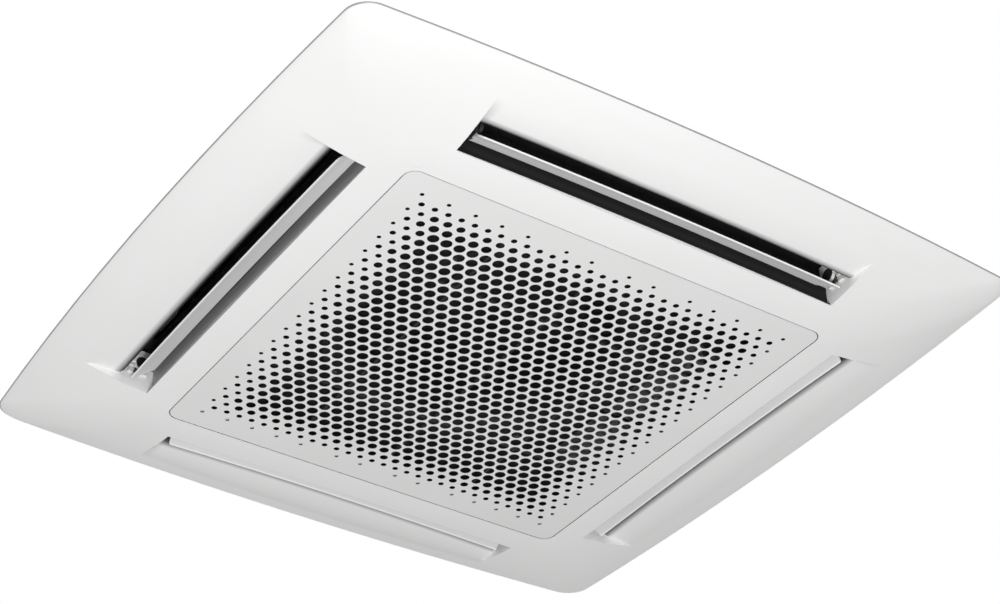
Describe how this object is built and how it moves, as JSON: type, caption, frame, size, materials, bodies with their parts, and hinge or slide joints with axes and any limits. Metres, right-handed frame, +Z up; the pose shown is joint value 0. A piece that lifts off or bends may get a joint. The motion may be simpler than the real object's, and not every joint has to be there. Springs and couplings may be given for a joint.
{
  "type": "ceiling cassette air conditioner",
  "caption": "Square ceiling cassette air conditioner: bowed panel with a perforated drop-down intake grille, a flapped air outlet along each side, and a casing with fan, coil and pump.",
  "frame": {"origin": "centre of the rectangle of hanger slots, on the underside of the hanger shelves, 170 mm above the ceiling plane", "axes": "+Z up; +X towards the refrigerant pipe connections and the side that the grille hinges on"},
  "size_m": [0.95, 0.95, 0.2981],
  "materials": {
    "panel_plastic": "satin moulded ABS with a very fine grain",
    "grille_plastic": "fine-grained satin ABS",
    "flap_plastic": "light grey satin plastic",
    "white_plastic": "plain white moulding",
    "dark_plastic": "dark acetal",
    "filter_net": "fine dark polypropylene net",
    "galvanised": "galvanised sheet with a dull spangle",
    "zinc_steel": "zinc plated fasteners",
    "foam_dark": "expanded foam with a dark skin",
    "duct_lining": "thin matt black lining",
    "foam_grey": "closed cell polyethylene foam",
    "fin_aluminium": "bare aluminium fins",
    "copper": "copper tube",
    "brass": "machined brass",
    "black_rubber": "moulded rubber",
    "fan_plastic": "dark glass filled moulding",
    "inlet_plastic": "black moulding",
    "motor_steel": "black painted pressing",
    "winding": "varnished copper winding",
    "board_green": "printed circuit laminate",
    "drain_grey": "grey PVC",
    "clear_hose": "soft vinyl hose",
    "box_steel": "painted sheet"
  },
  "bodies": {
    "unit": {"air_sensor": "dark_plastic", "bell_mouth": "inlet_plastic", "bell_mouth_screws": "zinc_steel", "bracket_rivets": "zinc_steel", "capillary_tubes": "copper", "casing_liner": "foam_dark", "chassis_shell": "galvanised", "circuit_board": "board_green", "coil_end_plates": "galvanised", "coil_fins": "fin_aluminium", "coil_header": "copper", "coil_return_bends": "copper", "control_box": "box_steel", "control_box_lid": "box_steel", "distributor": "brass", "drain_hose": "clear_hose", "drain_pan": "foam_dark", "drain_plug": "black_rubber", "drain_socket": "drain_grey", "electrics": "dark_plastic", "flap_brackets": "white_plastic", "flap_bushes": "dark_plastic", "flap_motors": "zinc_steel", "flare_unions": "brass", "float_guide": "white_plastic", "gas_pipe": "copper", "hanger_brackets": "galvanised", "latch_bodies": "white_plastic", "liquid_pipe": "copper", "motor_bolts": "zinc_steel", "motor_bushes": "black_rubber", "motor_casing": "motor_steel", "motor_stator": "winding", "outlet_gaskets": "foam_grey", "outlet_liners": "duct_lining", "panel_frame": "panel_plastic", "panel_screws": "zinc_steel", "pipe_grommets": "black_rubber", "pump_body": "dark_plastic", "pump_bracket": "galvanised", "rim_gasket": "foam_grey", "top_insulation": "foam_grey", "top_plate": "galvanised"},
    "grille": {"grille_plate": "grille_plastic", "grille_frame": "white_plastic", "grille_hinge_pins": "zinc_steel", "filter_frame": "dark_plastic", "filter_mesh": "filter_net", "latch_strike_plates": "zinc_steel"},
    "flap_a": {"flap_a": "flap_plastic"},
    "flap_b": {"flap_b": "flap_plastic"},
    "flap_c": {"flap_c": "flap_plastic"},
    "flap_d": {"flap_d": "flap_plastic"},
    "fan": {"fan_impeller": "fan_plastic", "fan_nut": "zinc_steel", "motor_rotor": "zinc_steel"},
    "pump_rotor": {"pump_impeller": "white_plastic"},
    "float": {"float_ring": "white_plastic"},
    "latch_a": {"latch_plunger_a": "dark_plastic"},
    "latch_b": {"latch_plunger_b": "dark_plastic"}
  },
  "joints": [
    {"name": "grille_hinge", "type": "hinge", "parent": "unit", "child": "grille", "pos_m": [0.2775, 0, -0.2045], "axis": [0, -1, 0], "range_deg": [0, 90]},
    {"name": "flap_a_tilt", "type": "hinge", "parent": "unit", "child": "flap_a", "pos_m": [0.3485, 0, -0.1765], "axis": [0, 1, 0], "range_deg": [-25, 40]},
    {"name": "flap_b_tilt", "type": "hinge", "parent": "unit", "child": "flap_b", "pos_m": [0, 0.356, -0.1765], "axis": [-1, 0, 0], "range_deg": [-25, 40]},
    {"name": "flap_c_tilt", "type": "hinge", "parent": "unit", "child": "flap_c", "pos_m": [-0.3485, 0, -0.1765], "axis": [0, -1, 0], "range_deg": [-25, 40]},
    {"name": "flap_d_tilt", "type": "hinge", "parent": "unit", "child": "flap_d", "pos_m": [0, -0.356, -0.1765], "axis": [1, 0, 0], "range_deg": [-25, 40]},
    {"name": "fan_spin", "type": "hinge", "parent": "unit", "child": "fan", "pos_m": [0, 0, 0.04], "axis": [0, 0, 1], "continuous": true},
    {"name": "pump_spin", "type": "hinge", "parent": "unit", "child": "pump_rotor", "pos_m": [-0.3147, 0.3147, -0.11], "axis": [0, 0, 1], "continuous": true},
    {"name": "float_rise", "type": "slide", "parent": "unit", "child": "float", "axis": [0, 0, 1], "range_m": [0, 0.012]},
    {"name": "latch_a_press", "type": "slide", "parent": "unit", "child": "latch_a", "axis": [0, 0, 1], "range_m": [0, 0.0035], "stiffness_N_per_m": 200, "springref_m": -0.003},
    {"name": "latch_b_press", "type": "slide", "parent": "unit", "child": "latch_b", "axis": [0, 0, 1], "range_m": [0, 0.0035], "stiffness_N_per_m": 200, "springref_m": -0.003}
  ]
}
